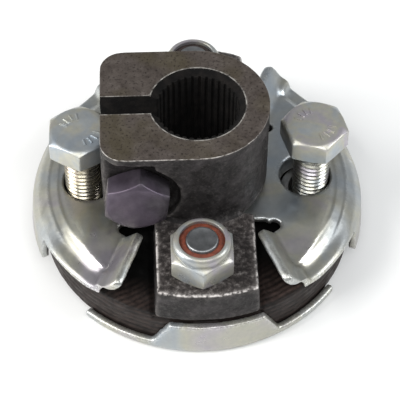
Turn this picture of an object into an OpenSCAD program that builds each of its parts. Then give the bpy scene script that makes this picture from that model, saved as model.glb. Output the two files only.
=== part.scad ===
// Flexible steering column coupling, in millimetres.
// The origin is the middle of the underside and +Z runs up the steering shaft.
// The clamp slot opens towards -X, the two hub lugs lie on the Y axis
// and the two flange bolts on the X axis.

/* [Rubber disc] */
// Width of rubber from the flange bolts' axes to the disc's edge
disc_margin = 9.4; // [8.8:0.1:10.8]
// Thickness of the disc
disc_t = 9.2; // [8:0.2:12]
// Radius of the disc's middle hole
disc_hole_r = 13; // [11.5:0.5:14]
// Rounding of the disc's outer edges
disc_round = 0.6; // [0.2:0.1:1.2]

/* [Lower plate] */
// Sheet thickness of the lower plate
plate_t = 1.6; // [1.4:0.1:2.4]
// Outer radius of the fold round the plate's edge
plate_bend_r = 2.2; // [2:0.1:2.8]
// Half angle of each wing of the plate
plate_half_angle = 49; // [42:1:56]
// Height of the plate's low rim above the floor
plate_rim_h = 3.2; // [3:0.1:5]
// Height of the tall tabs that hold the disc's edge
plate_tab_h = 10; // [6:0.5:10.5]
// Half angle of each tall tab at its foot
plate_tab_angle = 22; // [16:1:30]
// Plan length of the sloping end of a tall tab
plate_tab_ramp = 3.4; // [0:0.2:5]
// Turn of the plate's outline about the shaft axis
plate_turn = 5; // [0:0.5:6]
// Radius of the ring that joins the two wings
plate_ring_r = 18; // [16:0.5:18.5]
// Radius of the plate's middle hole
plate_hole_r = 11; // [10.5:0.5:13]

/* [Hub] */
// Outer radius of the round hub
hub_r = 15.3; // [14.5:0.1:16]
// Height of the hub, from its underside to the machined top
hub_h = 22.6; // [20:0.2:26]
// Reach of the clamp ears from the shaft axis
ear_reach = 20.6; // [20:0.1:21.4]
// Radius of the ears' upright corners
ear_corner_r = 5; // [3:0.5:7]
// Height of the ears' underside above the hub's underside
ear_lift = 3.4; // [3.2:0.1:4.2]
// Width of the clamp slot
slot_w = 4.9; // [3:0.1:5.4]
// Chamfer at the mouth of the bore
bore_chamfer = 1.2; // [0.6:0.1:1.4]

/* [Splined bore] */
// Radius over the tips of the spline teeth
spline_tip_r = 8.6; // [8.2:0.05:8.7]
// Depth of the spline grooves
spline_depth = 0.4; // [0.3:0.05:0.45]
// Number of spline teeth
spline_teeth = 36; // [24:1:40]

/* [Lugs] */
// Thickness of the two lugs
lug_t = 8.9; // [8:0.1:12]
// Half width of a lug where its sides meet the hub
lug_half_w = 10.1; // [9:0.1:10.6]
// Offset of both lugs away from the clamp slot
lug_shift = 1; // [0:0.1:1.2]
// Reach of the lugs' round outer ends beyond the studs' axes
lug_end = 9; // [8.5:0.1:9.5]
// Draft that each side of a lug gains by its foot
lug_draft = 1.1; // [0:0.1:1.3]
// Radius of the fillet between a lug's top and the hub
lug_fillet_r = 2.4; // [1:0.1:3]
// Width of rubber from the studs' axes to the disc's edge
stud_margin = 8.6; // [8.2:0.1:9.1]

/* [Pinch bolt] */
// Height of the pinch bolt above the hub's underside
pinch_lift = 10.4; // [10:0.1:11.5]
// Length of the pinch bolt under its head
pinch_len = 25; // [20:1:27]
// Depth of the recess for the pinch bolt's head
pinch_recess = 2.6; // [1.5:0.1:3.4]
// Radius of the recess round the head
pinch_recess_r = 9.2; // [8.4:0.1:9.4]
// Turn of the pinch bolt's hexagon
pinch_head_turn = 23; // [0:1:59]

/* [Stop plate] */
// Sheet thickness of the stop plate
stop_t = 1.6; // [1.2:0.1:1.8]
// Height of the raised part's underside above the sleeves' flanges
stop_rise = 3.1; // [2.8:0.1:3.3]
// Half width of the strip that runs under the hub
strip_half_w = 12.3; // [11.6:0.1:12.6]
// Radius of the hole in the middle of the strip
strip_hole_r = 10.4; // [9.6:0.1:10.8]
// Room in plan between the sleeves' flange and the foot of the sloping wall
wall_room = 1.6; // [1.5:0.1:2]
// Plan width of the sloping wall between the band and the raised part
wall_w = 2.6; // [1.5:0.1:2.8]
// Where the straight edge of each flap starts, from the shaft axis
flap_x = 14.7; // [14.2:0.1:15.4]
// Plan angle of the flaps' straight edges
flap_angle = 66.7; // [63:0.1:69]
// Plan angle of the crease across each flap
crease_angle = 16.3; // [10:0.1:20]
// Dip of each flap beyond its crease
flap_dip = 6; // [2:0.5:8]
// Radius of the relief hole at the root of each flap
relief_r = 1.4; // [0.8:0.1:1.6]
// Width of the upturned lip
lip_w = 4.9; // [3:0.1:5.4]
// Lean of the lip from the level
lip_lean = 57; // [50:1:65]
// Distance of the lip's start from the root of the flap
lip_start = 4.4; // [4:0.1:5]
// Length of the lip
lip_len = 10.4; // [8:0.1:11]
// Radius of the lip's outer corner
lip_corner_r = 3; // [1.5:0.1:3.4]
// Half angle of each turned-down skirt
skirt_half_angle = 21; // [15:1:26]
// Depth of the skirts below the top of the band
skirt_drop = 7.4; // [4:0.1:8]
// Outer radius of the skirts' fold
skirt_bend_r = 1.9; // [1.9:0.05:2.2]
// Outward flare of the skirts
skirt_flare = 0.5; // [0:0.1:0.8]
// Offset of the pressing's bolt holes from the bolts' axes, towards the shaft axis
bolt_hole_offset = 1.2; // [0.9:0.1:1.4]
// Radius of the bolt holes in the pressing
bolt_hole_r = 5.6; // [5.5:0.1:5.9]
// Rounding of the drawn edge of the bolt holes
bolt_hole_round = 1; // [0.5:0.1:1.3]

/* [Flange bolts and sleeves] */
// Distance from the pinch bolt's hole to the flange bolts' axes
bolt_stand_off = 7.8; // [7.7:0.05:8]
// Length of the flange bolts under the head
bolt_len = 25; // [22:1:25]
// How far the flange bolts are backed out of their seats
bolt_backed_out = 11; // [6:0.5:12]
// Turn of the left bolt's hexagon
left_head_turn = 29.4; // [0:0.1:59]
// Turn of the right bolt's hexagon
right_head_turn = -14.5; // [-59:0.1:0]
// Radius of the threaded sleeves inside the disc
sleeve_r = 5.6; // [5.2:0.1:6]
// Radius of the sleeves' flange on top of the disc
sleeve_flange_r = 6.4; // [6.2:0.1:6.5]
// Thickness of the sleeves' flange
sleeve_flange_t = 1; // [0.8:0.1:1.1]

/* [Screws and nuts] */
// Radius of every screw, bolt and stud
screw_r = 4; // [3.8:0.05:4]
// Width across the flats of every hexagon
hex_af = 13; // [12:0.1:13]
// Height of the bolt heads
head_h = 5.3; // [4.8:0.1:5.5]
// Height of the lock nuts
nut_h = 8; // [7.5:0.1:8.5]
// Height of the hexagon of the lock nuts
nut_hex_h = 5.6; // [5:0.1:6]
// Radius of the collar of the lock nuts
nut_collar_r = 6.1; // [5.9:0.1:6.3]
// Outer radius of the nylon inserts
insert_r = 5.3; // [5.1:0.05:5.4]
// Height of the nylon inserts
insert_h = 2.2; // [1.6:0.1:2.4]
// Radius of the rolled-in mouth of the lock nuts
nut_mouth_r = 4.9; // [4.7:0.05:5]
// Turn of the lock nuts' hexagons
nut_turn = 30; // [0:1:59]
// Radius of the clinched heads of the studs
stud_head_r = 5.6; // [5:0.1:6]
// Outer radius of the bushes round the studs
bush_r = 6.2; // [5.8:0.1:7]
// Chamfer at the ends of the screws
end_chamfer = 0.7; // [0.4:0.1:1]

/* [Clearances] */
// Gap between a screw and the thread that it turns in
thread_gap = 0.05; // [0.02:0.01:0.08]
// Gap round a screw in a plain hole
hole_gap = 0.15; // [0.1:0.05:0.25]
// Gap between the rubber and the metal bushes in it
bush_gap = 0.1; // [0.05:0.05:0.2]
// Gap between the disc's edge and the lower plate's rim
edge_gap = 0.15; // [0.15:0.05:0.5]
// Gap between the disc's edge and the pressing's skirts
skirt_gap = 0.6; // [0.4:0.05:0.9]
// Gap between the pressing's band and the disc
band_gap = 0.3; // [0.2:0.05:0.5]
// Gap over the strip where it runs under the hub
strip_gap = 1.5; // [1.3:0.1:2]
// Gap beside the strip where it runs between the lugs
arch_gap = 0.9; // [0.7:0.1:1.2]
// Wall between the spline grooves and the pinch bolt's hole
pinch_wall = 0.1; // [0.05:0.05:0.3]
// Gap round the left bolt's head in the ear's pocket
head_gap = 0.15; // [0.1:0.05:0.2]
// Room above the left bolt's head in the ear's pocket
head_room = 2.4; // [2.4:0.1:3]
// Bend of the disc that the pocket leaves room for, in degrees
disc_bend = 1.5; // [1.5:0.1:1.6]
// Gap between parts that are pressed together
press_gap = 0.02; // [0:0.01:0.04]

/* [Hidden] */
$fn = 96;
eps = 0.01;
lap = 1;
groove_lap = 0.2;
dip_lap = 2;
fold_flat = 1;

spline_root_r = spline_tip_r + spline_depth;
bore_mouth_r = spline_root_r + bore_chamfer;
spline_pitch = 360 / spline_teeth;
groove_root_w = 0.28 * spline_pitch * spline_root_r * PI / 180;
groove_mouth_w = 0.58 * spline_pitch * spline_tip_r * PI / 180;

pinch_x = -(spline_root_r + pinch_wall + screw_r + hole_gap);
bolt_pitch_r = -pinch_x + screw_r + hole_gap + bolt_stand_off;
bolt_hole_pitch_r = bolt_pitch_r - bolt_hole_offset;
disc_r = bolt_pitch_r + disc_margin;
stud_pitch_r = disc_r - stud_margin;
lug_reach_r = stud_pitch_r + lug_end;
far = 3 * disc_r;

disc_top = plate_t + disc_t;
lug_top = disc_top + lug_t;
nut_top = lug_top + nut_h;

sleeve_top = disc_top + sleeve_flange_t;
raised_bottom = sleeve_top + stop_rise;
raised_top = raised_bottom + stop_t;
band_top = disc_top + band_gap + stop_t;

hub_base = raised_top + strip_gap;
hub_top = hub_base + hub_h;
ear_base = hub_base + ear_lift;
arch_half_w = strip_half_w + arch_gap;

pinch_z = hub_base + pinch_lift;
pinch_seat_y = -(hub_r - pinch_recess);
recess_top = 10;
recess_side = 4;

hex_corner_r = hex_af / 2 / cos(30);
hex_face_r = hex_af / 2 - 0.4;
washer_face_r = hex_af / 2 - 0.6;
washer_face_t = 0.4;

bolt_seat_z = raised_top;
bolt_under_head = bolt_seat_z + bolt_backed_out;
pocket_top = bolt_under_head + washer_face_t + head_h + head_room;
bend_room = (pocket_top - plate_t - disc_t / 2) * sin(disc_bend);
head_reach = hex_corner_r * max([for (k = [0 : 5]) cos(left_head_turn + 60 * k)]);
pocket_r = hex_corner_r + head_gap + sqrt(2) * bend_room;
pocket_x = -bolt_pitch_r + head_reach + head_gap + bend_room;

nut_lip_t = 0.6;
collar_round = 0.8;
insert_base = nut_h - nut_lip_t - insert_h;

plate_out_r = disc_r + edge_gap + plate_t;
plate_fold_start = plate_out_r - plate_bend_r;
tab_foot_w = plate_out_r * sin(plate_tab_angle);
skirt_out_r = disc_r + skirt_gap + stop_t;
skirt_fold_start = skirt_out_r - skirt_bend_r;
wall_foot_r = bolt_pitch_r + sleeve_flange_r + wall_room;
wall_head_r = wall_foot_r - wall_w;
wall_angle = atan2(raised_top - band_top, wall_w);
wall_step = 0.7;
lip_dip = atan(tan(flap_dip) * sin(flap_angle - crease_angle));
lip_foot = 7;
lip_depth = 14;
lip_plan_w = lip_w * cos(lip_lean) + stop_t;
relief_inset = 0.7;
drawn_wall = 0.8 * stop_t;

// Triangle that opens from the axis towards +X by a half angle
module wedge(half_angle) {
    polygon([[0, 0], far * [cos(half_angle), -sin(half_angle)], far * [cos(half_angle), sin(half_angle)]]);
}

// Copies a shape to both sides of the YZ plane
module left_and_right() {
    children();
    mirror([1, 0, 0]) children();
}

// Copies a shape to both sides of the XZ plane
module front_and_rear() {
    children();
    mirror([0, 1, 0]) children();
}

// Section of a sheet edge folded up to a height, for a turned body
module folded_edge(out_r, sheet, bend_r, height, flare) {
    intersection() {
        translate([out_r - bend_r, bend_r]) difference() {
            circle(bend_r);
            circle(bend_r - sheet);
        }
        translate([out_r - bend_r, 0]) square(bend_r);
    }
    translate([out_r - bend_r - fold_flat, 0]) square([fold_flat + eps, sheet]);
    polygon([[out_r - sheet, bend_r - eps], [out_r, bend_r - eps],
        [out_r + flare, height], [out_r + flare - sheet, height]]);
}

// Hexagon with its top corners turned off at 30 degrees
module hexagon(height) {
    chamfer_h = (hex_corner_r - hex_face_r) * tan(30);
    intersection() {
        cylinder(r = hex_corner_r, h = height, $fn = 6);
        union() {
            cylinder(r = 2 * hex_af, h = height - chamfer_h);
            translate([0, 0, height - chamfer_h])
                cylinder(r1 = hex_corner_r, r2 = hex_face_r, h = chamfer_h);
        }
    }
}

// Round shank that runs up from z = 0, with a chamfered upper end
module shank(length) {
    cylinder(r = screw_r, h = length - end_chamfer);
    translate([0, 0, length - end_chamfer])
        cylinder(r1 = screw_r, r2 = screw_r - end_chamfer, h = end_chamfer);
}

// Hexagon bolt with its seat at z = 0 and its head above
module hex_bolt(length, turn) {
    translate([0, 0, washer_face_t]) rotate(turn) hexagon(head_h);
    cylinder(r = washer_face_r, h = washer_face_t + eps);
    mirror([0, 0, 1]) shank(length);
}

// Plan of the ears: straight sides tangent to the hub, round outer corners
module ear_plan() {
    corner_x = ear_reach - ear_corner_r;
    corner_y = hub_r - ear_corner_r;
    translate([-ear_reach, -corner_y]) square([ear_reach, 2 * corner_y]);
    translate([-corner_x, -hub_r]) square([corner_x, 2 * hub_r]);
    front_and_rear() translate([-corner_x, -corner_y]) circle(ear_corner_r);
}

// One lug with drafted sides, its fillet to the hub and the hole for its stud
module lug() {
    lug_base = disc_top;
    foot_half_w = lug_half_w + lug_draft;
    difference() {
        intersection() {
            translate([lug_shift, 0, 0]) rotate([90, 0, 0]) linear_extrude(far)
                polygon([[-foot_half_w, lug_base], [foot_half_w, lug_base],
                    [lug_half_w, hub_base + hub_h / 2], [-lug_half_w, hub_base + hub_h / 2]]);
            union() {
                translate([0, 0, lug_base]) cylinder(r = lug_reach_r, h = lug_t);
                translate([0, 0, lug_top - eps]) rotate_extrude() difference() {
                    square([hub_r + lug_fillet_r, lug_fillet_r]);
                    translate([hub_r + lug_fillet_r, lug_fillet_r]) circle(lug_fillet_r);
                }
            }
            translate([-far / 2, -far - arch_half_w, 0]) cube(far);
        }
        translate([0, -stud_pitch_r, 0]) cylinder(r = screw_r + hole_gap, h = far);
    }
}

// Flat recess in the front ear for the pinch bolt's head
module pinch_recess_cut() {
    translate([pinch_x, pinch_seat_y, pinch_z]) rotate([90, 0, 0]) linear_extrude(hub_r) {
        circle(pinch_recess_r);
        translate([-far, 0]) square([far + recess_side, recess_top]);
    }
}

// Pocket in the ears for the left bolt's head, with room for the disc's bending
module head_pocket_cut() {
    intersection() {
        translate([-bolt_pitch_r, 0, 0]) cylinder(r = pocket_r, h = pocket_top);
        translate([pocket_x - far, -far / 2, 0]) cube(far);
    }
}

// Grooves of the splined bore and the chamfer at its mouth
module splined_bore() {
    translate([0, 0, hub_base - lap]) {
        cylinder(r = spline_tip_r, h = hub_h + 2 * lap);
        linear_extrude(hub_h + 2 * lap) for (i = [0 : spline_teeth - 1]) rotate((i + 0.5) * spline_pitch)
            polygon([[spline_tip_r - groove_lap, -groove_mouth_w / 2], [spline_root_r, -groove_root_w / 2],
                [spline_root_r, groove_root_w / 2], [spline_tip_r - groove_lap, groove_mouth_w / 2]]);
    }
    translate([0, 0, hub_top - bore_chamfer])
        cylinder(r1 = spline_root_r, r2 = bore_mouth_r + lap, h = bore_chamfer + lap);
}

module hub_flange() {
    color("#4b4340") difference() {
        union() {
            translate([0, 0, hub_base]) cylinder(r = hub_r, h = hub_h);
            translate([0, 0, ear_base]) linear_extrude(hub_top - ear_base) ear_plan();
            front_and_rear() lug();
        }
        splined_bore();
        translate([-far, -slot_w / 2, hub_base - lap]) cube([far, slot_w, far]);
        pinch_recess_cut();
        translate([pinch_x, 0, pinch_z]) rotate([90, 0, 0])
            cylinder(r = screw_r + hole_gap, h = far);
        translate([pinch_x, 0, pinch_z]) rotate([-90, 0, 0])
            cylinder(r = screw_r + thread_gap, h = far);
        head_pocket_cut();
    }
}

module pinch_bolt() {
    color("#3a3638") translate([pinch_x, pinch_seat_y, pinch_z]) rotate([90, 0, 0])
        hex_bolt(pinch_len, pinch_head_turn);
}

module rubber_disc() {
    color("#1d1c1c") difference() {
        translate([0, 0, plate_t]) rotate_extrude() {
            square([disc_r - disc_round, disc_t]);
            translate([0, disc_round]) square([disc_r, disc_t - 2 * disc_round]);
            for (z = [disc_round, disc_t - disc_round])
                translate([disc_r - disc_round, z]) circle(disc_round);
        }
        cylinder(r = disc_hole_r, h = far);
        front_and_rear() translate([0, -stud_pitch_r, 0]) cylinder(r = bush_r + bush_gap, h = far);
        left_and_right() translate([bolt_pitch_r, 0, 0]) cylinder(r = sleeve_r + bush_gap, h = far);
    }
}

// Plan between two flaps, in front of the strip, that the stop plate leaves open
module flap_gap_plan() {
    edge = far * [cos(flap_angle), sin(flap_angle)];
    difference() {
        polygon([[-flap_x, strip_half_w], [flap_x, strip_half_w],
            [flap_x + edge[0], strip_half_w + edge[1]], [-flap_x - edge[0], strip_half_w + edge[1]]]);
        left_and_right() translate([flap_x, strip_half_w]) rotate(flap_angle)
            translate([lip_start, -lap]) square([lip_len, lip_plan_w + lap]);
    }
    left_and_right() translate([flap_x, strip_half_w]) rotate(flap_angle)
        translate([relief_r + relief_inset, -relief_r / 2]) circle(relief_r);
}

// Flat band and turned-down skirt all round, solid, or the hollow under it
module skirt_form(inset) {
    out_r = skirt_out_r - inset;
    bend_r = skirt_bend_r - inset;
    top = band_top - inset;
    foot = band_top - skirt_drop - inset;
    rotate_extrude() {
        translate([0, foot]) square([skirt_fold_start, top - foot]);
        translate([skirt_fold_start, top - bend_r]) circle(bend_r);
        polygon([[0, foot], [out_r + skirt_flare, foot], [out_r, top - bend_r], [0, top - bend_r]]);
    }
}

// Raised part of the pressing with its four dipping flaps, solid, or the hollow under it
module raised_form(inset) {
    head_r = wall_head_r - inset * tan(wall_angle / 2);
    foot_r = wall_foot_r - inset * tan(wall_angle / 2);
    rise = raised_top - band_top;
    translate([0, 0, band_top - inset]) difference() {
        rotate_extrude() polygon([[0, -stop_t], [foot_r + wall_step, -stop_t], [foot_r + wall_step, 0],
            [foot_r - wall_step / 2, wall_step / 2], [head_r + wall_step / 2, rise - wall_step / 2],
            [head_r - wall_step, rise], [0, rise]]);
        left_and_right() front_and_rear() translate([flap_x, strip_half_w, rise])
            rotate(crease_angle) rotate([-flap_dip, 0, 0]) translate([-dip_lap, 0, 0]) cube(far);
    }
}

// Ramp under one lip, from the flap's straight edge up towards the lug, or the hollow under it
module lip_form(inset) {
    side = inset > 0 ? lap : 0;
    translate([flap_x, strip_half_w, raised_top]) rotate(flap_angle) rotate([0, lip_dip, 0])
        rotate([lip_lean, 0, 0]) translate([lip_start - side, -lip_foot - side, -lip_depth - inset])
            cube([lip_len + 2 * side, lip_w + lip_foot + 2 * side, lip_depth]);
}

// Cutter that rounds the outer corner of one lip
module lip_corner_cut() {
    translate([flap_x, strip_half_w, raised_top]) rotate(flap_angle) rotate([0, lip_dip, 0])
        rotate([lip_lean, 0, 0])
            translate([lip_start + lip_len - lip_corner_r, lip_w - lip_corner_r, -lip_depth / 2])
            linear_extrude(lip_depth) difference() {
                square(2 * lip_corner_r);
                circle(lip_corner_r);
            }
}

// Drawn collar of one bolt hole, down to the flange of its sleeve
module drawn_collar() {
    translate([bolt_hole_pitch_r, 0, sleeve_top])
        cylinder(r = bolt_hole_r + drawn_wall, h = raised_top - stop_t / 2 - sleeve_top);
}

// Cutter of one bolt hole with the round drawn edge at its top
module drawn_hole() {
    translate([bolt_hole_pitch_r, 0, 0]) {
        cylinder(r = bolt_hole_r, h = far);
        translate([0, 0, raised_top - bolt_hole_round]) rotate_extrude() difference() {
            square([bolt_hole_r + bolt_hole_round, bolt_hole_round + lap]);
            translate([bolt_hole_r + bolt_hole_round, 0]) circle(bolt_hole_round);
        }
    }
}

module stop_plate() {
    color("#b4b6b4") difference() {
        union() {
            difference() {
                union() {
                    skirt_form(0);
                    raised_form(0);
                    left_and_right() front_and_rear() lip_form(0);
                }
                skirt_form(stop_t);
                raised_form(stop_t);
                left_and_right() front_and_rear() {
                    lip_form(stop_t);
                    lip_corner_cut();
                }
            }
            left_and_right() drawn_collar();
        }
        translate([0, 0, -lap]) linear_extrude(band_top - stop_t + lap) difference() {
            circle(far);
            left_and_right() wedge(skirt_half_angle);
        }
        linear_extrude(far) front_and_rear() flap_gap_plan();
        cylinder(r = strip_hole_r, h = far);
        left_and_right() drawn_hole();
    }
}

// Section of the lower plate from its axis to the top of its tall tabs
module plate_section() {
    square([plate_fold_start - fold_flat / 2, plate_t]);
    folded_edge(plate_out_r, plate_t, plate_bend_r, plate_tab_h, 0);
}

// Bar with sloping sides that bounds the two tall tabs above the low rim
module tall_tab_form() {
    rise = plate_tab_h - plate_rim_h;
    rotate([90, 0, 0]) linear_extrude(2 * far, center = true)
        polygon([[-tab_foot_w, 0], [tab_foot_w, 0], [tab_foot_w - plate_tab_ramp, rise + eps],
            [plate_tab_ramp - tab_foot_w, rise + eps]]);
}

module lower_plate() {
    side_angle = 90 - plate_half_angle;
    color("#b9bbb9") difference() {
        rotate_extrude() plate_section();
        rotate(plate_turn) {
            left_and_right() translate([0, 0, -lap]) linear_extrude(far) difference() {
                wedge(side_angle);
                circle(plate_ring_r);
            }
            translate([0, 0, plate_rim_h]) difference() {
                cylinder(r = far, h = far);
                tall_tab_form();
            }
        }
        translate([0, 0, -lap]) cylinder(r = plate_hole_r, h = far);
        front_and_rear() translate([0, -stud_pitch_r, -lap])
            cylinder(r = stud_head_r + press_gap, h = far);
    }
}

module flange_bolt_left() {
    color("#c4c4c0") translate([-bolt_pitch_r, 0, bolt_under_head]) hex_bolt(bolt_len, left_head_turn);
}

module flange_bolt_right() {
    color("#c4c4c0") translate([bolt_pitch_r, 0, bolt_under_head]) hex_bolt(bolt_len, right_head_turn);
}

// Flanged sleeve with the thread for one flange bolt
module threaded_sleeve() {
    bore_r = screw_r + thread_gap;
    color("#6d6a66") translate([bolt_pitch_r, 0, 0]) difference() {
        union() {
            translate([0, 0, plate_t]) cylinder(r = sleeve_r, h = disc_t);
            translate([0, 0, disc_top]) cylinder(r = sleeve_flange_r, h = sleeve_flange_t);
        }
        cylinder(r = bore_r, h = far);
        translate([0, 0, sleeve_top - end_chamfer])
            cylinder(r1 = bore_r, r2 = bore_r + 2 * end_chamfer, h = 2 * end_chamfer);
    }
}

module threaded_sleeve_left() { mirror([1, 0, 0]) threaded_sleeve(); }
module threaded_sleeve_right() { threaded_sleeve(); }

// Stud with its head clinched flush into the lower plate
module stud() {
    color("#9a9b9a") translate([0, -stud_pitch_r, 0]) {
        cylinder(r = stud_head_r, h = plate_t);
        shank(nut_top);
    }
}

module stud_front() { stud(); }
module stud_rear() { mirror([0, 1, 0]) stud(); }

// Plain bush that keeps the rubber from being crushed round a stud
module stud_bush() {
    color("#6d6a66") translate([0, -stud_pitch_r, plate_t]) difference() {
        cylinder(r = bush_r, h = disc_t);
        translate([0, 0, -lap]) cylinder(r = screw_r + thread_gap, h = far);
    }
}

module stud_bush_front() { stud_bush(); }
module stud_bush_rear() { mirror([0, 1, 0]) stud_bush(); }

// Nut with a round collar rolled in over its nylon insert
module lock_nut() {
    color("#c8c8c6") translate([0, -stud_pitch_r, lug_top]) difference() {
        union() {
            rotate(nut_turn) hexagon(nut_hex_h);
            rotate_extrude() {
                square([nut_collar_r - collar_round, nut_h]);
                square([nut_collar_r, nut_h - collar_round]);
                translate([nut_collar_r - collar_round, nut_h - collar_round]) circle(collar_round);
            }
        }
        translate([0, 0, -lap]) cylinder(r = screw_r + thread_gap, h = nut_h + 2 * lap);
        translate([0, 0, insert_base]) cylinder(r = insert_r + press_gap, h = insert_h);
        translate([0, 0, insert_base]) cylinder(r = nut_mouth_r, h = nut_h);
    }
}

module lock_nut_front() { lock_nut(); }
module lock_nut_rear() { mirror([0, 1, 0]) lock_nut(); }

module nylon_insert() {
    color("#a3452c") translate([0, -stud_pitch_r, lug_top + insert_base]) difference() {
        cylinder(r = insert_r, h = insert_h);
        translate([0, 0, -lap]) cylinder(r = screw_r + press_gap, h = insert_h + 2 * lap);
    }
}

module nylon_insert_front() { nylon_insert(); }
module nylon_insert_rear() { mirror([0, 1, 0]) nylon_insert(); }

hub_flange();
pinch_bolt();
rubber_disc();
stop_plate();
lower_plate();
flange_bolt_left();
flange_bolt_right();
threaded_sleeve_left();
threaded_sleeve_right();
stud_front();
stud_rear();
stud_bush_front();
stud_bush_rear();
lock_nut_front();
lock_nut_rear();
nylon_insert_front();
nylon_insert_rear();
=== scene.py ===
import math

import bmesh
import bpy
import numpy as np
from mathutils import Matrix, Vector, noise


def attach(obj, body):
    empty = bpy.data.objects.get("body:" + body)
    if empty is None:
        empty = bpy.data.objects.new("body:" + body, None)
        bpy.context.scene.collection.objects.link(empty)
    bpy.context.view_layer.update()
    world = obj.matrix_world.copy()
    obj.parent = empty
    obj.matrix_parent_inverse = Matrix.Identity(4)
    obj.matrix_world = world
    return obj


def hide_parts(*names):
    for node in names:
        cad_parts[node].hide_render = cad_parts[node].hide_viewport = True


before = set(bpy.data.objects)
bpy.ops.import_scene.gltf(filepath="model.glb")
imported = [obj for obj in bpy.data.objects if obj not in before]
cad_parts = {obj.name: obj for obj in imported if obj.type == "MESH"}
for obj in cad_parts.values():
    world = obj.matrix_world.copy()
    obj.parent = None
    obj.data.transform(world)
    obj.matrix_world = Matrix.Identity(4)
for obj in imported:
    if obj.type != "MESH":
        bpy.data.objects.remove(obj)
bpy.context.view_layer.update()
MM = 0.001
col = bpy.context.scene.collection

# Sizes shared with the solids, in millimetres and degrees
DISC_R, DISC_TOP = 34.6, 10.8
LUG_TOP, HUB_BASE, HUB_TOP, HUB_R, EAR_BASE, EAR_REACH = 19.7, 18.0, 40.6, 15.3, 21.4, 20.6
TIP_R, ROOT_R, TEETH, SLOT_W = 8.6, 9.0, 36, 4.9
SCREW_R, SCREW_L, AF, PITCH, NUT_H = 4.0, 25, 13.0, 1.25, 8.0
BOLT_X, STUD_Y, BOLT_SEAT_Z = 25.2, 26.0, 27.5
PINCH_X, PINCH_Y, PINCH_Z = -13.25, -12.7, 28.4
BAND_TOP, RAISED_TOP, SLOPE_R, SLOPE_RUN = 12.7, 16.5, 30.6, 2.6
FLAP_X, STRIP_HALF_W, FLAP_ANGLE, CREASE_ANGLE, FLAP_DIP, LIP_LEAN = 14.7, 12.3, 66.7, 16.3, 6, 57
SHEET_T, SKIRT_HALF_ANGLE = 1.6, 21

# Sizes of the dressing
FACE_R = AF / 2 - 0.4       # round face inside a hexagon's turned-off corners
THREAD_DEPTH = 0.62
HALF_SLOT = SLOT_W / 2
CHAMFER = 1.2               # at the mouth of the bore
MOUTH_R = ROOT_R + CHAMFER
BAND_DROP = 3.8             # from the raised middle to the band, between SLOPE_R and SLOPE_R + SLOPE_RUN


# ---------------------------------------------------------------- meshes
def mesh_object(name, verts, faces, smooth=38):
    me = bpy.data.meshes.new(name)
    me.from_pydata([tuple(v) for v in verts], [], faces)
    me.update()
    ob = bpy.data.objects.new(name, me)
    col.objects.link(ob)
    return shade(ob, smooth)


def shade(ob, angle):
    ob.data.shade_smooth()
    ob.data.set_sharp_from_angle(angle=math.radians(angle))
    return ob


def coords(me):
    co = np.empty(len(me.vertices) * 3)
    me.vertices.foreach_get("co", co)
    return co.reshape(-1, 3)


def set_coords(me, co):
    me.vertices.foreach_set("co", np.ascontiguousarray(co).ravel())
    me.update()


def normals(me):
    n = np.empty(len(me.vertices) * 3)
    me.vertex_normals.foreach_get("vector", n)
    return n.reshape(-1, 3)


def edge_ends(me):
    """Both ends of each edge, and the number of edges at each vertex."""
    e = np.empty(len(me.edges) * 2, dtype=np.int64)
    me.edges.foreach_get("vertices", e)
    return e.reshape(-1, 2), np.maximum(np.bincount(e, minlength=len(me.vertices)), 1)


def neighbour_sum(v, e):
    return np.bincount(e[:, 0], v[e[:, 1]], len(v)) + np.bincount(e[:, 1], v[e[:, 0]], len(v))


def neighbour_mean(values, e, deg):
    if values.ndim == 1:
        return neighbour_sum(values, e) / deg
    return np.stack([neighbour_sum(v, e) / deg for v in values.T], 1)


def relax(me, times):
    """Moves every vertex halfway to the mean of its neighbours, the given number of times."""
    co, (e, deg) = coords(me), edge_ends(me)
    for _ in range(times):
        co = co + 0.5 * (neighbour_mean(co, e, deg) - co)
    set_coords(me, co)


def ease(a, b, v):
    """0 below a, 1 above b, and smooth between them."""
    t = np.clip((v - a) / (b - a), 0, 1)
    return t * t * (3 - 2 * t)


def fractal(co, size_mm, octaves, seed):
    f = MM * size_mm
    off = Vector((seed, seed * 1.7, -seed))
    return np.array([noise.fractal(Vector(p) / f + off, 1.0, 2.0, octaves, noise_basis="PERLIN_ORIGINAL")
                     for p in co])


def curvature(me):
    """Signed bend of the surface at each vertex: positive on ridges and edges, negative in corners."""
    co, (e, deg), n = coords(me), edge_ends(me), normals(me)
    edge_mm = 0.3
    c = -np.einsum("ij,ij->i", neighbour_mean(co, e, deg) - co, n) / (edge_mm * MM)
    for _ in range(2):
        c = neighbour_mean(c, e, deg)
    return c


def write_attribute(me, name, values):
    if name in me.attributes:
        me.attributes.remove(me.attributes[name])
    values = np.ascontiguousarray(values, dtype=np.float32)
    me.attributes.new(name, "FLOAT", "POINT").data.foreach_set("value", values)


def curvature_marks(me, gain):
    """Writes two marks from the bend, each from 0 to 1: brightening on edges, partly rubbed metal and partly
    painted highlight, and painted shade in corners.
    """
    c = curvature(me)
    write_attribute(me, "wear_and_glint", np.clip(c * gain, 0, 1))
    write_attribute(me, "corner_shade", np.clip(-c * gain, 0, 1))


def applied(ob):
    me = bpy.data.meshes.new_from_object(ob.evaluated_get(bpy.context.evaluated_depsgraph_get()))
    ob.modifiers.clear()
    old, ob.data = ob.data, me
    bpy.data.meshes.remove(old)
    return ob


def copy_of(node, name, plugs=()):
    """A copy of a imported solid, with closed plugs added to its mesh."""
    bm = bmesh.new()
    bm.from_mesh(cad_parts[node].data)
    for verts, faces in plugs:
        vs = [bm.verts.new(v) for v in verts]
        for f in faces:
            bm.faces.new([vs[i] for i in f])
    me = bpy.data.meshes.new(name)
    bm.to_mesh(me)
    bm.free()
    ob = bpy.data.objects.new(name, me)
    col.objects.link(ob)
    return ob


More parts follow.
